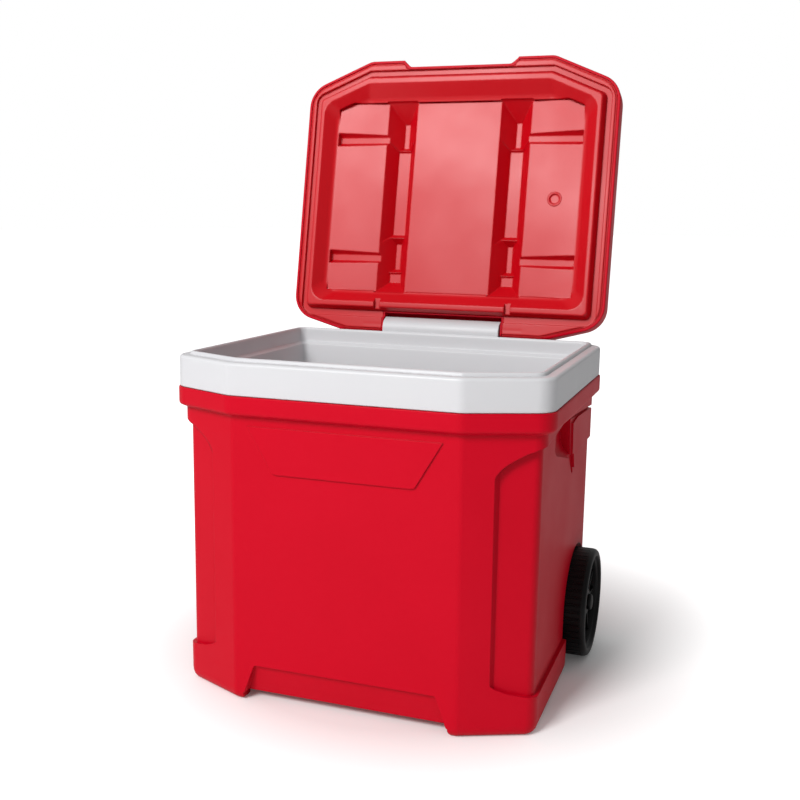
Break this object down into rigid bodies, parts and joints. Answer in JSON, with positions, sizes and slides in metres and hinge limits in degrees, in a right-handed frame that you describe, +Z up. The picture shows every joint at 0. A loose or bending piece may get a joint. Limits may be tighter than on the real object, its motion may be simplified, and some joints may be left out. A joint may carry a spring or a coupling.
{
  "type": "wheeled cooler",
  "caption": "Wheeled picnic cooler with an insulated tub, a rear-hinged lid standing open, side hand pockets, two wheels and a swing-out tow handle.",
  "frame": {"origin": "centre of the bounding box at floor level, with the lid standing open and the tow handle hanging down", "axes": "+X to the right of the cooler seen from its front, +Y from the front to the hinged rear, +Z up"},
  "size_m": [0.592, 0.594, 0.9774],
  "materials": {
    "red_plastic": "satin moulded polyethylene",
    "white_plastic": "satin moulded polypropylene",
    "foam": "rigid polyurethane foam",
    "black_plastic": "matt moulded plastic",
    "black_rubber": "matt rubber sleeve",
    "steel": "zinc-plated steel"
  },
  "bodies": {
    "body": {"body_shell": "red_plastic", "liner": "white_plastic", "body_foam": "foam", "hinge_pin_right": "steel", "hinge_pin_left": "steel", "axle_right": "steel", "axle_left": "steel", "axle_washer_right": "steel", "axle_washer_left": "steel", "axle_cap_right": "black_plastic", "axle_cap_left": "black_plastic", "tow_bracket_right": "black_plastic", "tow_bracket_left": "black_plastic", "tow_pin_right": "steel", "tow_pin_left": "steel", "bracket_screw_inner_right": "steel", "bracket_screw_inner_left": "steel", "bracket_screw_outer_right": "steel", "bracket_screw_outer_left": "steel", "drain_spout": "white_plastic"},
    "lid": {"lid_cover": "red_plastic", "lid_pan": "red_plastic", "lid_foam": "foam", "lid_foam_plug": "red_plastic"},
    "right_wheel": {"wheel_right": "black_plastic"},
    "left_wheel": {"wheel_left": "black_plastic"},
    "tow_handle": {"tow_frame": "steel", "tow_grip": "black_rubber"},
    "plug": {"drain_plug": "white_plastic"}
  },
  "joints": [
    {"name": "lid_hinge", "type": "hinge", "parent": "body", "child": "lid", "pos_m": [0, 0.17015, 0.5159], "axis": [1, 0, 0], "range_deg": [0, 100.7]},
    {"name": "right_wheel_spin", "type": "hinge", "parent": "body", "child": "right_wheel", "pos_m": [0.27325, 0.07905, 0.0875], "axis": [1, 0, 0], "continuous": true},
    {"name": "left_wheel_spin", "type": "hinge", "parent": "body", "child": "left_wheel", "pos_m": [-0.27325, 0.07905, 0.0875], "axis": [1, 0, 0], "continuous": true},
    {"name": "tow_handle_swing", "type": "hinge", "parent": "body", "child": "tow_handle", "pos_m": [0, 0.16905, 0.396], "axis": [1, 0, 0], "range_deg": [0, 110]},
    {"name": "drain_plug_pull", "type": "slide", "parent": "body", "child": "plug", "axis": [0, 1, 0], "range_m": [0, 0.025]}
  ]
}
